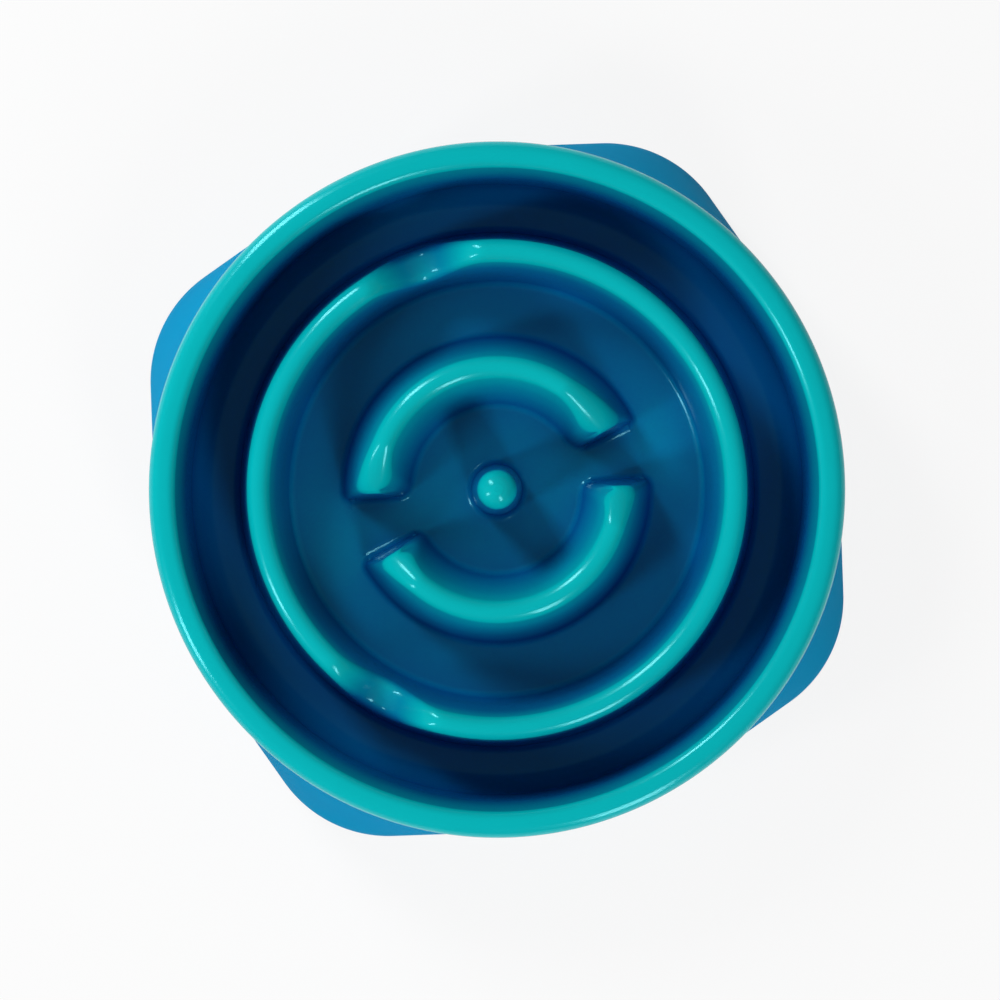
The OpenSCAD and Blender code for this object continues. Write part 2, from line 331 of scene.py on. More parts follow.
@dataclass
class BowlMoulding:
    """The whole moulding: rim, basin, ridges, post and skirt, as one closed mesh."""

    rim: RimSizes = RimSizes()
    basin: BasinSizes = BasinSizes()
    skirt: SkirtSizes = SkirtSizes()
    section: SectionSizes = SectionSizes()
    ring: RingSizes = RingSizes()
    arcs: ArcSizes = ArcSizes()
    post: PostSizes = PostSizes()

    def wall_slope(self) -> float:
        """Gives the lean of the basin's wall as an angle."""
        return math.degrees(math.atan(self.basin.lean / (self.rim.top - self.basin.floor)))

    def wall_radius(self, height: float) -> float:
        """Gives the radius of the basin's wall at a height."""
        foot = self.rim.radius - self.rim.width - self.basin.lean
        return foot + (height - self.basin.floor) * math.tan(math.radians(self.wall_slope()))

    def plate(self) -> float:
        """Gives the height of the floor's underside."""
        return self.basin.floor - self.basin.wall

    def lip_bottom(self) -> float:
        """Gives the height of the lip's lower side."""
        return self.rim.top - self.rim.lip_height

    def ring_section(self) -> Section:
        """Gives the ring ridge's section."""
        return Section(self.section, self.ring.height - self.basin.floor, self.ring.draft)

    def arc_section(self) -> Section:
        """Gives the arc ridges' section."""
        return Section(self.section, self.arcs.height - self.basin.floor, self.arcs.draft)

    def skirt_at(self, height: float, inset: float) -> tuple[float, float]:
        """Gives the skirt's form at a height.

        Args:
            height: Height above the table.
            inset: How far inside the skirt's outside the points lie.

        Returns:
            How far each corner's centre is moved along x and y, and the radius of the corners.
        """
        s = self.skirt
        blend = min(1.0, max(0.0, (height - s.gap) / (self.lip_bottom() - s.gap)))
        top = self.rim.radius - self.rim.lip_step
        shift = (s.base_width / 2 - s.corner) * (1 - blend)
        return shift, s.corner + (top - s.corner) * blend - inset

    def outline(self) -> list[Stop]:
        """Works out the closed outline from the post's tip, over the rim and back under the floor.

        Returns:
            The stops in order. The first and the last lie on the axis.
        """
        stops: list[Stop] = []

        def add(part: Part, points: list[Point]) -> None:
            """Adds the points of one part."""
            stops.extend(Stop(part, i, r, z) for i, (r, z) in enumerate(points))

        def add_ridge(part: Part, radius: float, half: list[Point], way: int) -> None:
            """Adds a half section and its mirror image, about a crest line at a radius."""
            both = [(way * x, z) for x, z in half] + [(-way * x, z) for x, z in reversed(half)]
            add(part, [(radius + x, self.basin.floor + z) for x, z in both])

        ring, arcs = self.ring_section(), self.arc_section()
        add(Part.POST, self.post_outside())
        add_ridge(Part.ARC, self.arcs.radius, arcs.half(arcs.height), -1)
        add_ridge(Part.RING, self.ring.radius, ring.half(ring.height), -1)
        add(Part.BASIN, self.basin_curve(0.0, self.basin.fillet_steps))
        add(Part.RIM, self.rim_outside())
        add(Part.SKIRT, [(self.rim.radius, z) for z in self.skirt_levels()])
        add(Part.SKIRT_INSIDE, [(self.rim.radius - self.basin.wall, z) for z in self.inside_levels()])
        add(Part.BASIN_UNDER, self.basin_under())
        add_ridge(Part.RING_UNDER, self.ring.radius, ring.hollow(ring.height, self.basin.wall), 1)
        add_ridge(Part.ARC_UNDER, self.arcs.radius, arcs.hollow(arcs.height, self.basin.wall), 1)
        add(Part.POST_UNDER, self.post_inside())
        return stops

    def post_outside(self) -> list[Point]:
        """Works out the post's dome, side and fillet.

        Returns:
            The points from its tip down to the floor.
        """
        p, foot_r = self.post, self.section.foot_round
        dome = arc((0.0, p.height - p.radius), p.radius, 90, p.draft, p.dome_steps)
        x, z = dome[-1]
        base = x + (z - self.basin.floor) * math.tan(math.radians(p.draft))
        middle = (base + reach_of(foot_r, p.draft), self.basin.floor + foot_r)
        return dome + arc(middle, foot_r, p.draft - 180, -90, self.section.foot_steps)

    def post_inside(self) -> list[Point]:
        """Works out the hollow in the post.

        Returns:
            The points from the floor's underside up to its tip.
        """
        p, edge = self.post, self.section.mouth_round
        dome = arc((0.0, p.height - p.radius), p.radius - self.basin.wall, p.draft, 90, p.hollow_steps)
        x, z = dome[0]
        mouth = x + (z - self.plate()) * math.tan(math.radians(p.draft))
        return arc((mouth + edge, self.plate() + edge), edge, -90, -180, p.mouth_steps) + dome

    def basin_curve(self, out: float, steps: int) -> list[Point]:
        """Gives the fillet between the basin's floor and wall.

        Args:
            out: How far outside the basin's surface the points lie.
            steps: Number of straight steps.

        Returns:
            The points from the floor up to the wall.
        """
        b = self.basin
        centre_z = b.floor + b.fillet
        slope = self.wall_slope()
        centre = (self.wall_radius(centre_z) - b.fillet / math.cos(math.radians(slope)), centre_z)
        return arc(centre, b.fillet + out, -90, -slope, steps)

    def rim_outside(self) -> list[Point]:
        """Works out the rim.

        Returns:
            The points from the top of the basin's wall to the ledge under the lip.
        """
        r, slope = self.rim, self.wall_slope()
        edge_z = r.top - r.inner_round
        edge = (self.wall_radius(edge_z) + r.inner_round / math.cos(math.radians(slope)), edge_z)
        outer = (r.radius - r.outer_round, r.top - r.outer_round)
        lip = (r.radius - r.lip_round, self.lip_bottom() + r.lip_round)
        return (
            arc(edge, r.inner_round, 180 - slope, 90, r.inner_steps)
            + arc(outer, r.outer_round, 90, 0, r.outer_steps)
            + arc(lip, r.lip_round, 0, -90, r.lip_steps)
        )

    def skirt_levels(self) -> list[float]:
        """Works out the heights of the skirt's rings.

        Returns:
            The heights from the lip down to the rounded lower edge.
        """
        s = self.skirt
        edge = [s.gap + s.edge * (1 - math.sin(math.radians(a))) for a in s.edge_angles]
        return between(self.lip_bottom(), s.gap + s.edge, s.levels) + edge

    def inside_levels(self) -> list[float]:
        """Gives the heights of the rings inside the skirt, from its lower edge up to the rim's roof."""
        return between(self.skirt.gap, self.lip_bottom(), self.skirt.levels) + [self.rim.top - self.basin.wall]

    def basin_under(self) -> list[Point]:
        """Works out the outside of the basin under the rim.

        Returns:
            The points from the rim's roof down to the floor's underside.
        """
        roof = self.rim.top - self.basin.wall
        curve = list(reversed(self.basin_curve(self.basin.wall, self.basin.under_steps)))
        top = (self.wall_radius(roof) + self.basin.wall / math.cos(math.radians(self.wall_slope())), roof)
        return [top, ((top[0] + curve[0][0]) / 2, (top[1] + curve[0][1]) / 2)] + curve

    def build(self) -> bpy.types.Object:
        """Spins the outline and shapes it.

        Returns:
            The finished moulding.
        """
        stops = self.outline()
        piece = self.spin(stops)
        pick(piece)
        bpy.ops.object.mode_set(mode="EDIT")
        bm = bmesh.from_edit_mesh(piece.data)
        mark = bm.verts.layers.int["stop"]
        arc_columns = self.arc_columns()
        for vert in bm.verts:
            angle = math.degrees(math.atan2(vert.co.y, vert.co.x)) % 360
            column = int(angle / STEP) % COLUMNS
            vert.co = self.place(stops[vert[mark]], (column + 0.5) * STEP, arc_columns[column])
        for face in bm.faces:
            # Skirt faces get the material whose bluer tone is painted shade.
            satin = all(stops[vert[mark]].part is Part.SKIRT for vert in face.verts)
            face.material_index = Finish.SATIN.value if satin else Finish.GLOSSY.value
        bmesh.update_edit_mesh(piece.data)
        bpy.ops.mesh.select_all(action="SELECT")
        bpy.ops.mesh.normals_make_consistent(inside=False)
        bpy.ops.object.mode_set(mode="OBJECT")
        bpy.ops.object.shade_smooth_by_angle(angle=math.radians(SMOOTH_ANGLE))
        LOG.info("%s: %d outline stops, %d faces", piece.name, len(stops), len(piece.data.polygons))
        return piece

    def spin(self, stops: list[Stop]) -> bpy.types.Object:
        """Extrudes the outline point by point and spins it about the axis.

        Args:
            stops: The outline.

        Returns:
            The spun mesh, with each vertex marked with its stop's number.
        """
        deselect()
        bpy.ops.mesh.primitive_plane_add(size=MM, location=(0, 0, stops[0].height * MM))
        piece = bpy.context.object
        piece.name = piece.data.name = "bowl_moulding"
        bpy.ops.object.transform_apply(location=True)
        bpy.ops.object.mode_set(mode="EDIT")
        bpy.ops.mesh.merge(type="CENTER")
        for before, after in zip(stops, stops[1:]):
            step = ((after.radius - before.radius) * MM, 0, (after.height - before.height) * MM)
            bpy.ops.mesh.extrude_vertices_move(TRANSFORM_OT_translate={"value": step})
        bm = bmesh.from_edit_mesh(piece.data)
        mark = bm.verts.layers.int.new("stop")
        bm.verts.ensure_lookup_table()
        for number, vert in enumerate(bm.verts):
            vert[mark] = number
        turn = Matrix.Rotation(math.radians(STEP / 2), 3, "Z")
        bmesh.ops.rotate(bm, verts=bm.verts, cent=(0, 0, 0), matrix=turn)
        bmesh.update_edit_mesh(piece.data)
        bpy.ops.mesh.select_all(action="SELECT")
        bpy.ops.mesh.spin(steps=COLUMNS, angle=2 * math.pi, center=(0, 0, 0), axis=(0, 0, 1))
        bpy.ops.mesh.select_all(action="SELECT")
        bpy.ops.mesh.remove_doubles(threshold=WELD)
        bpy.ops.object.mode_set(mode="OBJECT")
        return piece

    def place(self, stop: Stop, angle: float, crossing: ArcColumn) -> Vector:
        """Finds where a stop of the outline lies in one column.

        Args:
            stop: The stop.
            angle: The column's angle at the rim.
            crossing: Where the column crosses the arc ridges.

        Returns:
            The point, in metres.
        """
        if stop.part in (Part.RING, Part.RING_UNDER, Part.ARC, Part.ARC_UNDER):
            middle, at = self.ring.radius, angle
            if stop.part in (Part.ARC, Part.ARC_UNDER):
                middle, at = self.arcs.radius, crossing.angle
            offset, height = self.side(stop, self.half_at(stop, angle, crossing))
            return self.polar(middle + offset, self.basin.floor + height, at)
        if stop.part in (Part.SKIRT, Part.SKIRT_INSIDE):
            inset = self.edge_inset(stop.height) if stop.part is Part.SKIRT else self.basin.wall
            return self.cornered(stop.height, inset, angle)
        room = self.room_inside(stop.height, angle) if stop.part is Part.BASIN_UNDER else math.inf
        return self.polar(min(stop.radius, room), stop.height, angle)

    @staticmethod
    def polar(radius: float, height: float, angle: float) -> Vector:
        """Turns a radius, a height and an angle into a point in metres."""
        turn = math.radians(angle)
        return Vector((radius * math.cos(turn), radius * math.sin(turn), height)) * MM

    def edge_inset(self, height: float) -> float:
        """Gives how far the rounded lower edge of the skirt is drawn in at a height."""
        below = max(0.0, self.skirt.gap + self.skirt.edge - height) / self.skirt.edge
        return self.skirt.edge * (1 - math.sqrt(max(0.0, 1 - below * below)))

    def cornered(self, height: float, inset: float, angle: float) -> Vector:
        """Places a point of the skirt: each quarter of a circle is moved out along its diagonal.

        Args:
            height: Height above the table.
            inset: How far inside the skirt's outside it lies.
            angle: The column's angle.

        Returns:
            The point, in metres.
        """
        shift, radius = self.skirt_at(height, inset)
        turn = math.radians(angle)
        x = math.copysign(shift, math.cos(turn)) + radius * math.cos(turn)
        y = math.copysign(shift, math.sin(turn)) + radius * math.sin(turn)
        return Vector((x, y, height)) * MM

    def room_inside(self, height: float, angle: float) -> float:
        """Gives how far out the space inside the skirt reaches in one direction.

        Args:
            height: Height above the table.
            angle: The direction.

        Returns:
            The radius just short of the skirt's inside.
        """
        shift, radius = self.skirt_at(height, self.basin.wall)
        turn = math.radians(angle)
        c, s = abs(math.cos(turn)), abs(math.sin(turn))
        flat = shift + radius
        if s * flat <= shift * c:
            out = flat / c
        elif c * flat <= shift * s:
            out = flat / s
        else:
            along = shift * (c + s)
            out = along + math.sqrt(along * along - 2 * shift * shift + radius * radius)
        return out - self.skirt.clear

    def ring_height(self, angle: float) -> float:
        """Works out the ring ridge's height, which dips in the saddles.

        Args:
            angle: The column's angle.

        Returns:
            The height above the floor.
        """
        r = self.ring
        half = math.degrees(r.saddle_length / 2 / r.radius)
        off = min(abs(angle - saddle) for saddle in r.saddles)
        dip = r.saddle_depth * (1 + math.cos(math.pi * min(1.0, off / half))) / 2
        return r.height - self.basin.floor - dip

    @staticmethod
    def side(stop: Stop, half: list[Point]) -> Point:
        """Picks a stop's point from one half of a section, on the side of the crest where it lies.

        Args:
            stop: The stop. The outline meets a ridge's inner side first, and a hollow's outer side.
            half: The half section from the floor up.

        Returns:
            The offset from the crest line, and the height.
        """
        first = stop.index < len(half)
        x, z = half[stop.index] if first else half[2 * len(half) - 1 - stop.index]
        return (-x if first == (stop.part in (Part.RING, Part.ARC)) else x), z

    def half_at(self, stop: Stop, angle: float, crossing: ArcColumn) -> list[Point]:
        """Works out the half section of a ridge, or of the hollow under it, in one column.

        Args:
            stop: The stop that it is for.
            angle: The column's angle at the rim.
            crossing: Where the column crosses the arc ridges.

        Returns:
            Offsets from the crest line and heights above the floor.
        """
        ring, arcs, wall = self.ring_section(), self.arc_section(), self.basin.wall
        if stop.part is Part.RING:
            return ring.half(self.ring_height(angle))
        if stop.part is Part.RING_UNDER:
            return ring.hollow(self.ring_height(angle), wall)
        if stop.part is Part.ARC_UNDER:
            if crossing.inside <= crossing.inner_corner * self.arcs.corner_stretch + wall:
                return [(x, -wall) for x, _ in arcs.hollow(arcs.height, wall)]
            return arcs.hollow(crossing.height, wall)
        full = arcs.half(arcs.height)
        if math.isinf(crossing.inside):
            return full if crossing.inside > 0 else [(x, 0.0) for x, _ in full]
        if stop.index < len(full):
            return self.end_half(crossing, crossing.inner_corner, self.arcs.corner_stretch)
        return self.end_half(crossing, self.arcs.outer_corner, 1.0)

    def end_edge(self, ramp: float) -> list[Point]:
        """Works out the rounded edge at the top of an end face.

        Args:
            ramp: The ramp's length.

        Returns:
            Distances inside the crest's end and heights, from the face to the ramp.
        """
        a, radius = self.arcs, self.section.crest_round
        slope = math.degrees(math.atan(a.ramp_fall * a.ramp_power))
        turn = math.radians(slope)
        middle = (radius * math.sin(turn), self.ramp_height(0.0, ramp) - radius * math.cos(turn))
        return arc(middle, radius, 180 - a.end_draft, 90 + slope, a.edge_steps)

    def end_base(self, ramp: float) -> float:
        """Gives how far outside the crest's end the end face would meet the floor, as a negative distance."""
        x, z = self.end_edge(ramp)[0]
        return x - z * math.tan(math.radians(self.arcs.end_draft))

    def end_path(self, ramp: float) -> list[Point]:
        """Works out the sections of one end of an arc ridge, from the floor in to the top of its ramp.

        Args:
            ramp: The ramp's length.

        Returns:
            Distances inside the crest's end and heights, from the outermost inwards.
        """
        a, s = self.arcs, self.section
        edge, base = self.end_edge(ramp), self.end_base(ramp)
        middle = (base - reach_of(s.foot_round, a.end_draft), s.foot_round)
        foot = arc(middle, s.foot_round, -90, -a.end_draft, s.foot_steps)
        heights = [share * edge[0][1] for share in a.face_shares]
        face = [(base + z * math.tan(math.radians(a.end_draft)), z) for z in heights]
        count = max(a.least_steps, round(self.arc_angle(ramp)) - a.end_columns)
        return foot + face + edge + [(x, self.ramp_height(x, ramp)) for x in between(0.0, ramp, count)[1:]]

    def ramp_height(self, inside: float, ramp: float) -> float:
        """Gives an arc ridge's height above the floor at a distance inside the edge of its end."""
        fall = self.arcs.ramp_fall * ramp * max(0.0, 1 - inside / ramp) ** self.arcs.ramp_power
        return self.arcs.height - self.basin.floor - fall

    def arc_angle(self, length: float) -> float:
        """Gives the angle that a length takes along the arc ridges' crest line."""
        return math.degrees(length / self.arcs.radius)

    def arc_columns(self) -> list[ArcColumn]:
        """Shares the mesh's columns out among the arc ridges' ends, crests and gaps.

        Returns:
            One entry for each column, in order of the angle.
        """
        anchors: list[tuple[int, list[ArcColumn]]] = []
        for end in self.arcs.ends:
            base = self.end_base(end.ramp)
            made = [
                ArcColumn(end.angle + end.way_in * self.arc_angle(inside), inside - base, height, end.inner_corner)
                for inside, height in self.end_path(end.ramp)
            ][:: end.way_in]
            foot = made[0] if end.way_in > 0 else made[-1]
            number = round(foot.angle / STEP - 0.5)
            anchors.append((number if end.way_in > 0 else number - len(made) + 1, made))
        columns: dict[int, ArcColumn] = {}
        crest = self.arcs.height - self.basin.floor
        for i, (first, made) in enumerate(anchors):
            for j, column in enumerate(made):
                columns[(first + j) % COLUMNS] = column
            start, after = made[-1].angle, anchors[(i + 1) % len(anchors)]
            count = (after[0] - first - len(made)) % COLUMNS
            span = (after[1][0].angle - start) % 360
            on_crest = self.arcs.ends[i].way_in > 0
            for j in range(1, count + 1):
                angle = start + span * j / (count + 1)
                height = crest if on_crest else 0.0
                inside = math.inf if on_crest else -math.inf
                columns[(first + len(made) + j - 1) % COLUMNS] = ArcColumn(angle, inside, height)
        return [columns[number] for number in range(COLUMNS)]

    def corner_inset(self, corner: float, inside: float, height: float) -> float:
        """Gives how far an end's corner takes the flank in, at a distance inside the end's base line and a height."""
        near = min(corner, max(0.0, corner + height * math.tan(math.radians(self.arcs.end_draft)) - inside))
        return corner - math.sqrt(corner * corner - near * near)

    def dome_radius(self, height: float, inset: float) -> float:
        """Gives the rounding that makes the top of an arc ridge one dome where its ramp has lowered it.

        Args:
            height: The ridge's height above the floor there.
            inset: How far the end's corner takes the flank in there.

        Returns:
            The radius, which on the full ridge is that of its crest.
        """
        section, turn = self.arc_section(), math.radians(self.arcs.draft)
        room = section.base() - inset - height * section.lean() - self.section.crest_flat / 2
        full = room / (math.cos(turn) - section.lean() * (1 - math.sin(turn)))
        return max(self.arcs.least_edge, min(full, self.arcs.dome * section.rounding_share(height)))

    def end_half(self, crossing: ArcColumn, corner: float, stretch: float) -> list[Point]:
        """Gives half a section in the end of an arc ridge, where the corner and the foot bend round it.

        Args:
            crossing: Where the column crosses the arc ridges.
            corner: The corner's radius on this side.
            stretch: How many times as long the corner is along the ridge.

        Returns:
            Offsets and heights from the floor up to the middle of the crest.
        """
        section, s, a = self.arc_section(), self.section, self.arcs
        base, top, lean = section.base(), crossing.height, section.lean()
        inside = crossing.inside / stretch if crossing.inside > 0 else crossing.inside
        out = max(0.0, corner - inside)
        points: list[Point] = []
        for reach, z in section.foot(s.foot_round):
            around = corner + reach
            bend = math.sqrt(max(0.0, around * around - out * out))
            points.append((base - corner + bend, min(z, top)))
        low, inset = points[-1][1], self.corner_inset(corner, inside, top)
        crest_r = self.dome_radius(top, inset)
        high = max(low, top - crest_r * (1 - math.sin(math.radians(a.draft))))
        for z in between(low, high, s.flank_steps)[1:-1]:
            points.append((base - self.corner_inset(corner, inside, z) - z * lean, z))
        across = base - inset - high * lean - crest_r * math.cos(math.radians(a.draft))
        middle = (max(s.crest_flat / 2, across), top - crest_r)
        points += [(x, max(low, z)) for x, z in arc(middle, crest_r, a.draft, 90, s.crest_steps)]
        return self.kept_apart(points)

    @staticmethod
    def kept_apart(points: list[Point]) -> list[Point]:
        """Keeps each point a hair inside the one before it, so that no two meet.

        Args:
            points: A half section from the floor up.

        Returns:
            The points, moved where they were too close.
        """
        made = [points[0]]
        for x, z in points[1:]:
            made.append((min(x, made[-1][0] - HAIR), z))
        return made


@dataclass(frozen=True)
class BossSizes:
    """A boss that takes a rubber foot, with the rib that ties it to the walls."""

    diameter: float = 11.0
    bottom: float = 3.5
    reach: float = 108.71
    rib: float = 1.8
    edge: float = 0.5
    sunk: float = 0.7
    sides: int = 48
    edge_steps: int = 2
    rib_cuts: int = 11
    ceiling_steps: int = 199
    smooth_angle: float = 40.0


@dataclass
class FootBosses:
    """The four bosses under the corners."""

    moulding: BowlMoulding
    sizes: BossSizes = BossSizes()
    corners: tuple[tuple[str, float], ...] = (
        ("front_right", -45.0),
        ("back_right", 45.0),
        ("back_left", 135.0),
        ("front_left", 225.0),
    )

    def roof(self) -> float:
        """Gives the height in the middle of the rim's thickness."""
        return self.moulding.rim.top - self.moulding.basin.wall / 2

    def outer(self, height: float) -> float:
        """Gives how far out the skirt's inner half reaches along the diagonal at a height."""
        shift, radius = self.moulding.skirt_at(height, self.sizes.sunk * self.moulding.basin.wall)
        return shift * math.sqrt(2) + radius

    def inner(self, height: float) -> float:
        """Finds the middle of the basin's wall.

        Args:
            height: Height above the table.

        Returns:
            The distance from the bowl's axis.
        """
        m, b = self.moulding, self.moulding.basin
        below = b.floor + b.fillet - height
        if below < 0:
            return m.wall_radius(height) + b.wall / 2
        centre = m.wall_radius(b.floor + b.fillet) - b.fillet
        return centre + math.sqrt(max(0.0, (b.fillet + b.wall / 2) ** 2 - below * below))

    def ceiling(self, reach: float) -> float:
        """Gives the height where a boss has run into the skirt or the rim's roof, at a distance from the axis."""
        heights = between(self.moulding.skirt.gap, self.roof(), self.sizes.ceiling_steps)
        return next((height for height in heights if self.outer(height) < reach), self.roof())

    def build(self) -> list[bpy.types.Object]:
        """Makes the four bosses."""
        return [self.boss(name, angle) for name, angle in self.corners]

    def boss(self, name: str, angle: float) -> bpy.types.Object:
        """Makes one boss: a cylinder with a bevelled mouth, and its rib.

        Args:
            name: Name of the corner.
            angle: Angle of the corner.

        Returns:
            The finished piece.
        """
        s = self.sizes
        middle = (s.bottom + 0.5) * MM
        deselect()
        bpy.ops.mesh.primitive_cylinder_add(
            vertices=s.sides, radius=s.diameter / 2 * MM, depth=MM, location=(s.reach * MM, 0, middle)
        )
        piece = bpy.context.object
        piece.name = piece.data.name = "boss_" + name
        bpy.ops.object.transform_apply(location=True)
        bpy.ops.object.mode_set(mode="EDIT")
        bm = bmesh.from_edit_mesh(piece.data)
        for vert in bm.verts:
            if vert.co.z > middle:
                vert.co.z = self.ceiling(math.hypot(vert.co.x, vert.co.y) / MM) * MM
        bmesh.update_edit_mesh(piece.data)
        bpy.ops.object.mode_set(mode="OBJECT")
        rib = self.rib_plate()
        pick(piece)
        rib.select_set(True)
        bpy.ops.object.join()
        bevel = piece.modifiers.new("edges", "BEVEL")
        bevel.width, bevel.segments, bevel.limit_method = s.edge * MM, s.edge_steps, "ANGLE"
        bevel.angle_limit = math.radians(SMOOTH_ANGLE)
        bpy.ops.object.modifier_apply(modifier=bevel.name)
        bpy.ops.object.shade_smooth_by_angle(angle=math.radians(s.smooth_angle))
        piece.data.transform(Matrix.Rotation(math.radians(angle), 4, "Z"))
        LOG.info("%s: %d faces", piece.name, len(piece.data.polygons))
        return piece

    def rib_plate(self) -> bpy.types.Object:
        """Makes the rib along the diagonal: a plate from the basin to the skirt.

        Returns:
            The plate, still on the x axis.
        """
        s = self.sizes
        low, high = s.bottom + s.rib, self.roof()
        deselect()
        bpy.ops.mesh.primitive_plane_add(size=MM, location=(0, 0, 0))
        piece = bpy.context.object
        bpy.ops.object.mode_set(mode="EDIT")
        bpy.ops.mesh.subdivide(number_cuts=s.rib_cuts)
        bm = bmesh.from_edit_mesh(piece.data)
        for vert in bm.verts:
            along = vert.co.x / MM + 0.5
            height = low + (high - low) * (vert.co.y / MM + 0.5)
            inner, outer = self.inner(height), self.outer(height)
            vert.co = Vector((inner + (outer - inner) * along, -s.rib / 2, height)) * MM
        bmesh.update_edit_mesh(piece.data)
        bpy.ops.mesh.select_all(action="SELECT")
        bpy.ops.mesh.extrude_region_move(TRANSFORM_OT_translate={"value": (0, s.rib * MM, 0)})
        bpy.ops.mesh.select_all(action="SELECT")
        bpy.ops.mesh.normals_make_consistent(inside=False)
        bpy.ops.object.mode_set(mode="OBJECT")
        return piece


@dataclass(frozen=True)
class Noise:
    """A cloudy pattern: how fine it is, and how much detail it has."""

    scale: float
    detail: float


@dataclass(frozen=True)
class Grain:
    """A fine relief of the surface, with its depth in metres."""

    pattern: Noise
    strength: float
    depth: float


class Nodes:
    """Short ways to add and join shader nodes in one material or world."""

    def __init__(self, owner: bpy.types.Material | bpy.types.World, output: str = "OutputMaterial") -> None:
        """Starts an empty tree with an output.

        Args:
            owner: The material or the world.
            output: The type of its output node.
        """
        owner.use_nodes = True
        self.owner, self.tree = owner, owner.node_tree
        self.tree.nodes.clear()
        self.output = self.add(output).inputs["Surface"]

    @cached_property
    def place(self) -> bpy.types.Node:
        """Adds the coordinates, once they are needed."""
        return self.add("TexCoord")

    def feed(self, target: Socket, value: object) -> None:
        """Links a socket to an input, or sets the input.

        Args:
            target: The input.
            value: A socket or the input's value, with three numbers for a colour.
        """
        if isinstance(value, Socket):
            self.tree.links.new(value, target)
        else:
            target.default_value = (*value, 1) if target.type == "RGBA" else value

    def add(self, kind: str, *feeds: object, **values: object) -> bpy.types.Node:
        """Adds a node, sets its properties and feeds its inputs.

        Args:
            kind: The node's type.
            feeds: What its first inputs get, in order.
            values: Property names, or input names with spaces written as underscores.

        Returns:
            The node.
        """
        node = self.tree.nodes.new("ShaderNode" + kind)
        for target, value in zip(node.inputs, feeds):
            self.feed(target, value)
        for key, value in values.items():
            if hasattr(node, key):
                setattr(node, key, value)
            else:
                self.feed(node.inputs[key.replace("_", " ")], value)
        return node

    def maths(self, operation: str, first: Socket, second: Socket | float) -> Socket:
        """Works one value out of two."""
        return self.add("Math", first, second, operation=operation).outputs["Value"]

    def spread(self, value: Socket, before: Range, after: Range) -> Socket:
        """Maps a value from one range onto another and keeps it inside."""
        ends = {"From_Min": before[0], "From_Max": before[1], "To_Min": after[0], "To_Max": after[1]}
        return self.add("MapRange", Value=value, **ends).outputs["Result"]

    def noise(self, pattern: Noise) -> Socket:
        """Gives the share of a pattern that keeps its place on the piece."""
        place = self.place.outputs["Object"]
        return self.add("TexNoise", Scale=pattern.scale, Detail=pattern.detail, Vector=place).outputs["Fac"]

    def relief(self, grain: Grain) -> Socket:
        """Gives the surface's direction with a grain."""
        height = self.noise(grain.pattern)
        return self.add("Bump", Strength=grain.strength, Distance=grain.depth, Height=height).outputs["Normal"]

    def rays(self) -> tuple[Socket, Socket]:
        """Gives the share of the camera's rays, and that of the rays from mirrors and clear materials."""
        path = self.add("LightPath").outputs
        return path["Is Camera Ray"], self.maths("MAXIMUM", path["Is Glossy Ray"], path["Is Transmission Ray"])

    def blend(self, share: Socket, first: Socket, second: Socket) -> None:
        """Mixes two shaders into the output, by the share of the second one."""
        self.feed(self.output, self.add("MixShader", share, first, second).outputs["Shader"])

    def finished(self, **values: object) -> bpy.types.Material:
        """Closes a material with the Principled shader, with its inputs named as in add."""
        self.feed(self.output, self.add("BsdfPrincipled", **values).outputs["BSDF"])
        return self.owner


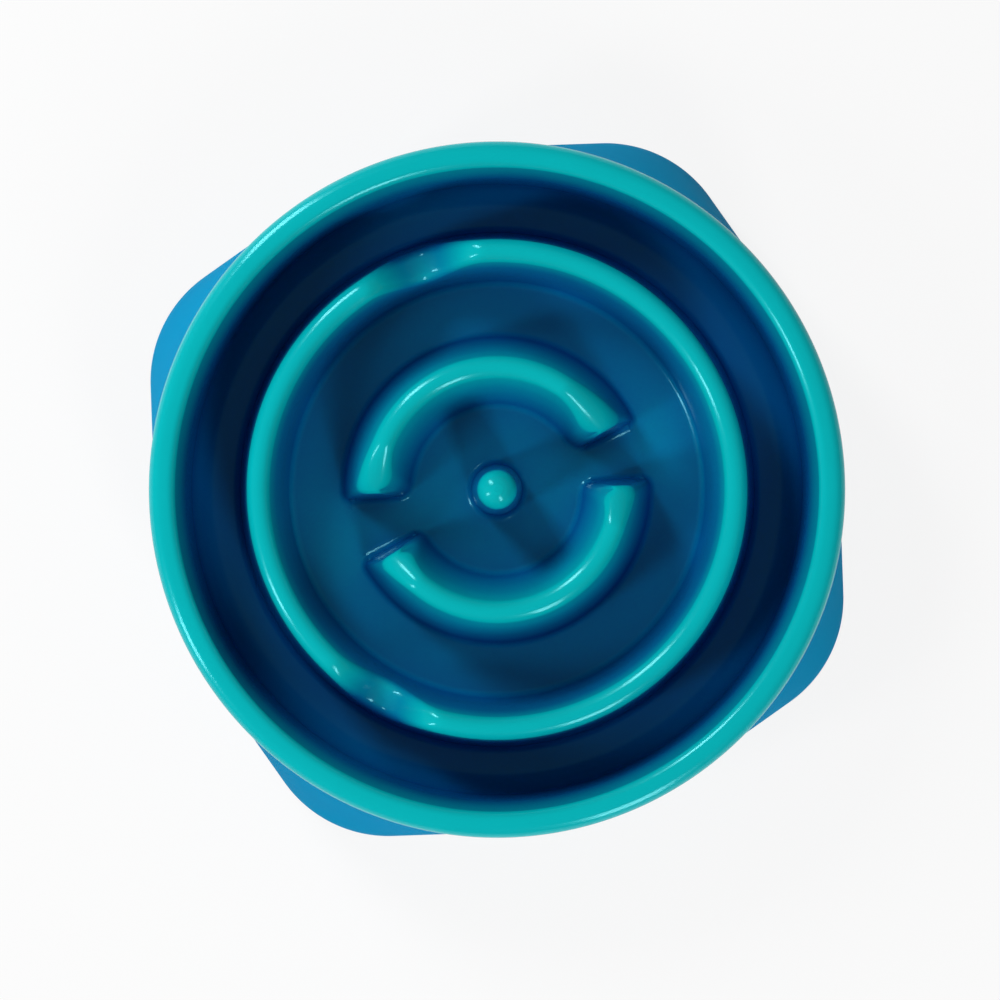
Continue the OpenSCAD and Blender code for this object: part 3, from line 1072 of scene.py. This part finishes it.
@dataclass(frozen=True)
class GlossyPlastic:
    """Turquoise moulded plastic with painted shade: its colour darkens to a deep blue in the recesses. Heights and
    radii are in metres.
    """

    name: str = "turquoise_plastic_painted_shade"
    # The lower stops are painted shade, darker and bluer where ambient occlusion finds a recess; the top stop is the
    # plastic's own turquoise.
    painted_shade_ramp: tuple[tuple[float, Colour], ...] = (
        (0.22, (0.0004, 0.06, 0.27)),
        (0.45, (0.0005, 0.12, 0.32)),
        (0.65, (0.0006, 0.21, 0.41)),
        (0.85, (0.0008, 0.38, 0.48)),
        (0.97, (0.001, 0.48, 0.51)),
    )
    index: float = 1.49
    gloss: float = 0.45
    gloss_tint: Colour = (0.28, 0.9, 1.0)
    smears: Noise = Noise(260.0, 4.0)
    roughness: Range = (0.128, 0.2)
    clouds: Noise = Noise(35.0, 3.0)
    brightness: Range = (0.96, 1.04)
    ripple: Grain = Grain(Noise(420.0, 2.0), 0.05, 0.0004)
    reach: float = 0.06
    reach_samples: int = 8
    # Heights and upward slopes where the painted shade is left out: the tops of the rim and ring ridge, and, nearer
    # the axis than arcs_reach, the arc ridges.
    crest_heights: Range = (0.028, 0.037)
    crest_slopes: Range = (0.08, 0.35)
    arcs_reach: float = 0.056
    arc_heights: Range = (0.012, 0.03)
    arc_slopes: Range = (0.16, 0.5)

    def material(self) -> bpy.types.Material:
        """Builds the material.

        Returns:
            The material.
        """
        n = Nodes(bpy.data.materials.new(self.name))
        return n.finished(
            IOR=self.index,
            Specular_IOR_Level=self.gloss,
            Specular_Tint=self.gloss_tint,
            Base_Color=self.colour(n),
            Roughness=n.spread(n.noise(self.smears), SHARE, self.roughness),
            Normal=n.relief(self.ripple),
        )

    def colour(self, n: Nodes) -> Socket:
        """Colours the plastic with painted shade, darker and bluer the less open a place is, with a faint cloudiness.

        Args:
            n: The node tree.

        Returns:
            The socket with the colour.
        """
        # Ambient occlusion sets how much painted shade a place gets.
        hollow = n.add("AmbientOcclusion", samples=self.reach_samples, Distance=self.reach)
        ramp = n.add("ValToRGB", Fac=hollow.outputs["AO"])
        stops = ramp.color_ramp.elements
        while len(stops) < len(self.painted_shade_ramp):
            stops.new(1.0)
        for stop, (position, colour) in zip(stops, self.painted_shade_ramp):
            stop.position, stop.color = position, (*colour, 1)
        # The mask leaves the painted shade out on the tops, which keep the plastic's own turquoise.
        tones = {"A": ramp.outputs["Color"], "B": self.painted_shade_ramp[-1][1], "Factor": self.unshaded_tops_share(n)}
        lit = n.add("Mix", data_type="RGBA", **tones)
        value = n.spread(n.noise(self.clouds), SHARE, self.brightness)
        return n.add("HueSaturation", Value=value, Color=lit.outputs["Result"]).outputs["Color"]

    def unshaded_tops_share(self, n: Nodes) -> Socket:
        """Marks where the painted shade is left out and the colour stays fully turquoise: the high, upward-facing
        rounded tops, and inside the ring ridge lower places as well.

        Args:
            n: The node tree.

        Returns:
            The socket that is 1 on these places.
        """
        place = n.add("SeparateXYZ", Vector=n.place.outputs["Object"]).outputs
        up = n.add("SeparateXYZ", Vector=n.add("NewGeometry").outputs["Normal"]).outputs["Z"]
        flat = n.add("CombineXYZ", place["X"], place["Y"]).outputs["Vector"]
        radius = n.add("VectorMath", flat, operation="LENGTH").outputs["Value"]
        crests, arcs = (
            n.maths("MULTIPLY", n.spread(place["Z"], heights, SHARE), n.spread(up, slopes, SHARE))
            for heights, slopes in ((self.crest_heights, self.crest_slopes), (self.arc_heights, self.arc_slopes))
        )
        near = n.maths("LESS_THAN", radius, self.arcs_reach)
        return n.maths("MAXIMUM", crests, n.maths("MULTIPLY", arcs, near))


@dataclass(frozen=True)
class MattFinish:
    """What the dull finishes share: two tones in patches, a grain, and a polish that is even or goes by patches."""

    name: str
    low: Colour
    high: Colour
    patches: Noise
    roughness: Range | float
    index: float
    grain: Grain

    def material(self) -> bpy.types.Material:
        """Builds the material.

        Returns:
            The material.
        """
        n = Nodes(bpy.data.materials.new(self.name))
        patches = n.noise(self.patches)
        even = isinstance(self.roughness, float)
        return n.finished(
            IOR=self.index,
            Base_Color=n.add("Mix", data_type="RGBA", A=self.low, B=self.high, Factor=patches).outputs["Result"],
            Roughness=self.roughness if even else n.spread(patches, SHARE, self.roughness),
            Normal=n.relief(self.grain),
        )


@dataclass(frozen=True)
class ShadedSatinPlastic(MattFinish):
    """The moulding's satin outside, from the lip down to the base, with hardly any gloss; its bluer tone is painted
    shade, a darker copy of the turquoise.
    """

    name: str = "satin_plastic_painted_shade"
    # Painted shade: darker, bluer tones of the turquoise plastic.
    low: Colour = (0.0015, 0.26, 0.51)
    high: Colour = (0.0015, 0.3, 0.55)
    patches: Noise = Noise(30.0, 3.0)
    roughness: Range | float = (0.51, 0.69)
    index: float = 1.05
    grain: Grain = Grain(Noise(1500.0, 2.0), 0.1, 0.0001)


@dataclass(frozen=True)
class Rubber(MattFinish):
    """Dark matt rubber with dust in its fine grain."""

    name: str = "dark_rubber"
    low: Colour = (0.016, 0.018, 0.02)
    high: Colour = (0.05, 0.053, 0.056)
    patches: Noise = Noise(180.0, 5.0)
    roughness: Range | float = 0.75
    index: float = 1.5
    grain: Grain = Grain(Noise(2600.0, 2.0), 0.25, 0.0002)


def dress(piece: bpy.types.Object, *materials: bpy.types.Material) -> None:
    """Gives a piece its materials, without changing which face has which.

    Args:
        piece: The piece.
        materials: Its materials in order.
    """
    faces = [face.material_index for face in piece.data.polygons]
    piece.data.materials.clear()
    for material in materials:
        piece.data.materials.append(material)
    for face, number in zip(piece.data.polygons, faces):
        face.material_index = min(number, len(materials) - 1)


@dataclass(frozen=True)
class Softbox:
    """One tall studio light, aimed at the bowl."""

    name: str
    azimuth: float
    power: float
    tilt: float = 55.0
    distance: float = 1.2
    width: float = 0.24
    height: float = 0.6


@dataclass
class Studio:
    """Floor, lights, surroundings and camera."""

    roll: float = 18.65
    camera_height: float = 1.051
    lens: float = 116.67
    sensor: float = 36.0
    shift: Range = (0.003, -0.0104)
    depth: Range = (0.05, 20.0)
    floor_size: float = 6.0
    floor_colour: float = 0.82
    floor_share: float = 0.85
    sky: float = 0.2
    backdrop_top: Range = (0.08, 0.2)
    lights: tuple[Softbox, ...] = (
        Softbox("light_back_left", 130.0, 8.2),
        Softbox("light_left", 206.0, 4.4, width=0.17, height=0.5),
        Softbox("light_front", 293.0, 5.8),
    )

    def build(self) -> None:
        """Makes all of it."""
        self.floor()
        self.surroundings()
        for light in self.lights:
            self.light(light)
        self.camera()

    def floor(self) -> None:
        """Makes a plain pale floor that shows as white to the camera and keeps the shadow."""
        deselect()
        bpy.ops.mesh.primitive_plane_add(size=self.floor_size, location=(0, 0, 0))
        piece = bpy.context.object
        piece.name = "floor"
        n = Nodes(bpy.data.materials.new("pale_floor"))
        plain = n.add("BsdfDiffuse", Color=(self.floor_colour,) * 3)
        white = n.add("Emission", Color=WHITE, Strength=1.0)
        eye, mirrored = n.rays()
        share = n.maths("MULTIPLY", n.maths("MAXIMUM", eye, mirrored), self.floor_share)
        n.blend(share, plain.outputs["BSDF"], white.outputs["Emission"])
        dress(piece, n.owner)

    def surroundings(self) -> None:
        """Makes an even, dim surround that the camera sees as white, with a white backdrop low down for mirrors."""
        world = bpy.data.worlds.new("surround")
        bpy.context.scene.world = world
        n = Nodes(world, "OutputWorld")
        dim = n.add("Background", Color=WHITE, Strength=self.sky)
        white = n.add("Background", Color=WHITE, Strength=1.0)
        eye, mirrored = n.rays()
        way = n.add("SeparateXYZ", Vector=n.place.outputs["Generated"])
        low = n.spread(way.outputs["Z"], self.backdrop_top, (1.0, 0.0))
        seen = n.maths("MAXIMUM", eye, n.maths("MULTIPLY", mirrored, low))
        n.blend(seen, dim.outputs["Background"], white.outputs["Background"])

    def light(self, box: Softbox) -> None:
        """Makes one softbox.

        Args:
            box: Its place, size and power.
        """
        turn = math.radians(box.azimuth - self.roll)
        tilt = math.radians(box.tilt)
        way = Vector((math.sin(tilt) * math.cos(turn), math.sin(tilt) * math.sin(turn), math.cos(tilt)))
        data = bpy.data.lights.new(box.name, "AREA")
        data.shape, data.size, data.size_y, data.energy = "RECTANGLE", box.width, box.height, box.power
        lamp = bpy.data.objects.new(box.name, data)
        lamp.location = way * box.distance
        lamp.rotation_mode = "QUATERNION"
        lamp.rotation_quaternion = way.to_track_quat("Z", "Y")
        bpy.context.scene.collection.objects.link(lamp)

    def camera(self) -> None:
        """Puts the camera straight above the bowl, turned as the photograph is."""
        data = bpy.data.cameras.new("camera")
        data.lens, data.sensor_width = self.lens, self.sensor
        data.shift_x, data.shift_y = self.shift
        data.clip_start, data.clip_end = self.depth
        camera = bpy.data.objects.new("camera", data)
        camera.location = (0, 0, self.camera_height)
        camera.rotation_euler = (0, 0, math.radians(-self.roll))
        bpy.context.scene.collection.objects.link(camera)
        bpy.context.scene.camera = camera
        bpy.context.scene.view_settings.view_transform = "Standard"


def main() -> None:
    """Builds the bowl around the frame and reports each piece."""
    logging.basicConfig(level=logging.INFO, format="%(name)s: %(message)s")
    Studio().build()
    # Both plastics carry painted shade: the turquoise one in its recesses, the satin one on the whole skirt.
    plastic, satin = GlossyPlastic().material(), ShadedSatinPlastic().material()
    rubber = Rubber().material()
    moulding = BowlMoulding()
    bowl = moulding.build()
    dress(bowl, plastic, satin)
    bosses = FootBosses(moulding).build()
    for piece in bosses:
        dress(piece, plastic)
    for piece in (bowl, *bosses):
        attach(piece, BODY)
        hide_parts("bowl_shell")
    for name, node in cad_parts.items():
        if name.startswith("foot_"):
            dress(node, rubber)
            LOG.info("%s: dressed", name)


if __name__ == "__main__":
    main()
